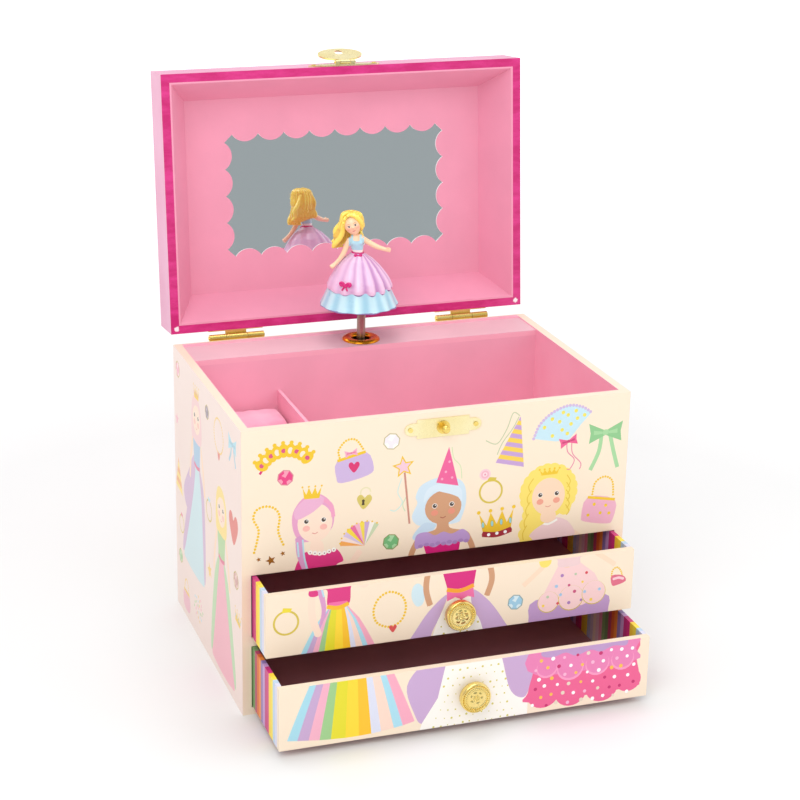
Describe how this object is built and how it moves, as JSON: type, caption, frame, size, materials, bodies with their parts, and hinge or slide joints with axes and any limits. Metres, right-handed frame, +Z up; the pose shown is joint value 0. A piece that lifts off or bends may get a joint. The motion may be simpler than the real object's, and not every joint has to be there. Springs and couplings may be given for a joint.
{
  "type": "musical jewellery box with turning doll",
  "caption": "Lidded card jewellery box with pull-out drawers, mirror lid, clasp, wind-up comb movement and a doll that turns and folds.",
  "frame": {"origin": "centre of the flat bottom face of the case", "axes": "+Z up, -Y to the front where the drawers open, +X to the right seen from the front"},
  "size_m": [0.18, 0.2083, 0.2653],
  "materials": {
    "printed_card": "printed paper over grey board",
    "pink_lining": "matt pink lining paper",
    "lid_covering": "bright pink covering paper",
    "drawer_print": "printed paper over grey board",
    "drawer_stripes": "striped paper",
    "drawer_lining": "dark plum lining paper",
    "ring_foam": "flocked foam",
    "mirror_glass": "flat mirror",
    "brass_fittings": "bright stamped brass",
    "gilt_knob": "embossed gilt",
    "movement_steel": "zinc-plated and tempered steel",
    "movement_brass": "machined brass",
    "spindle_steel": "polished steel",
    "screw_steel": "zinc-plated screws",
    "doll_blue": "painted resin",
    "doll_lilac": "painted resin",
    "doll_skin": "painted resin",
    "doll_hair": "painted resin"
  },
  "bodies": {
    "case": {"base_board": "printed_card", "left_side_board": "printed_card", "right_side_board": "printed_card", "drawer_shelf": "printed_card", "front_board": "printed_card", "back_board": "printed_card", "tray_floor": "pink_lining", "tray_divider": "pink_lining", "ring_shelf": "pink_lining", "ring_pad": "ring_foam", "music_wall": "pink_lining", "music_deck": "pink_lining", "grommet": "brass_fittings", "left_hinge_case_leaf": "brass_fittings", "right_hinge_case_leaf": "brass_fittings", "hinge_pins": "brass_fittings", "case_nails": "brass_fittings", "catch_plate": "brass_fittings", "catch_knob": "brass_fittings", "bedplate": "movement_steel", "comb": "movement_steel", "comb_screws": "screw_steel", "movement_screws": "screw_steel", "movement_bracket": "movement_steel"},
    "lid": {"lid_frame": "lid_covering", "lid_panel": "lid_covering", "lid_liner": "pink_lining", "mirror_mat": "pink_lining", "mirror": "mirror_glass", "left_hinge_lid_leaf": "brass_fittings", "right_hinge_lid_leaf": "brass_fittings", "lid_nails": "brass_fittings", "clasp_plate": "brass_fittings", "clasp_pin": "brass_fittings"},
    "clasp": {"clasp_flap": "brass_fittings"},
    "upper_drawer": {"upper_drawer_front": "drawer_print", "upper_drawer_sides": "drawer_stripes", "upper_drawer_floor": "drawer_lining", "upper_drawer_knob": "gilt_knob", "upper_drawer_knob_screw": "screw_steel"},
    "lower_drawer": {"lower_drawer_front": "drawer_print", "lower_drawer_sides": "drawer_stripes", "lower_drawer_floor": "drawer_lining", "lower_drawer_knob": "gilt_knob", "lower_drawer_knob_screw": "screw_steel"},
    "barrel": {"spring_barrel": "movement_brass", "barrel_cap": "movement_brass", "mainspring": "movement_steel"},
    "winder": {"winding_arbor": "movement_steel", "winding_key": "brass_fittings"},
    "drum": {"pinned_drum": "movement_brass", "drum_arbor": "movement_steel"},
    "governor": {"governor": "movement_brass"},
    "drive": {"drive_spindle": "spindle_steel"},
    "fold_link": {"figure_spring": "spindle_steel"},
    "doll": {"figure_spindle": "spindle_steel", "petticoat": "doll_blue", "overskirt": "doll_lilac", "doll_body": "doll_skin", "hair": "doll_hair"}
  },
  "joints": [
    {"name": "lid_hinge", "type": "hinge", "parent": "case", "child": "lid", "pos_m": [0, 0.0652, 0.13362], "axis": [1, 0, 0], "range_deg": [0, 95.6]},
    {"name": "clasp_flap_hinge", "type": "hinge", "parent": "lid", "child": "clasp", "pos_m": [0.0007, 0.08085, 0.26126], "axis": [1, 0, 0], "range_deg": [0, 160]},
    {"name": "upper_drawer_slide", "type": "slide", "parent": "case", "child": "upper_drawer", "axis": [0, -1, 0], "range_m": [-0.0215, 0.083]},
    {"name": "lower_drawer_slide", "type": "slide", "parent": "case", "child": "lower_drawer", "axis": [0, -1, 0], "range_m": [-0.0414, 0.063]},
    {"name": "barrel_turn", "type": "hinge", "parent": "case", "child": "barrel", "pos_m": [-0.001, 0.053, 0.098], "axis": [0, 1, 0], "continuous": true},
    {"name": "key_turn", "type": "hinge", "parent": "case", "child": "winder", "pos_m": [-0.001, 0.053, 0.098], "axis": [0, 1, 0], "continuous": true},
    {"name": "drum_turn", "type": "hinge", "parent": "case", "child": "drum", "pos_m": [-0.03, 0.0467, 0.098], "axis": [1, 0, 0], "continuous": true},
    {"name": "governor_turn", "type": "hinge", "parent": "case", "child": "governor", "pos_m": [-0.0451, 0.0467, 0.1045], "axis": [0, 1, 0], "continuous": true},
    {"name": "drive_turn", "type": "hinge", "parent": "case", "child": "drive", "pos_m": [-0.001, 0.0467, 0.115], "axis": [0, 0, 1], "continuous": true},
    {"name": "doll_fold", "type": "hinge", "parent": "case", "child": "fold_link", "pos_m": [-0.001, 0.0429, 0.135], "axis": [1, 0, 0], "range_deg": [0, 110], "deforming": ["figure_spring"]},
    {"name": "doll_turn", "type": "hinge", "parent": "fold_link", "child": "doll", "pos_m": [-0.001, 0.0467, 0.14], "axis": [0, 0, 1], "continuous": true}
  ],
  "couplings": [
    {"joint": "drum_turn", "follows": "barrel_turn", "ratio": 4},
    {"joint": "drive_turn", "follows": "barrel_turn", "ratio": -4},
    {"joint": "doll_turn", "follows": "barrel_turn", "ratio": -4},
    {"joint": "governor_turn", "follows": "barrel_turn", "ratio": 96},
    {"joint": "doll_fold", "follows": "lid_hinge", "ratio": 1.1506}
  ]
}
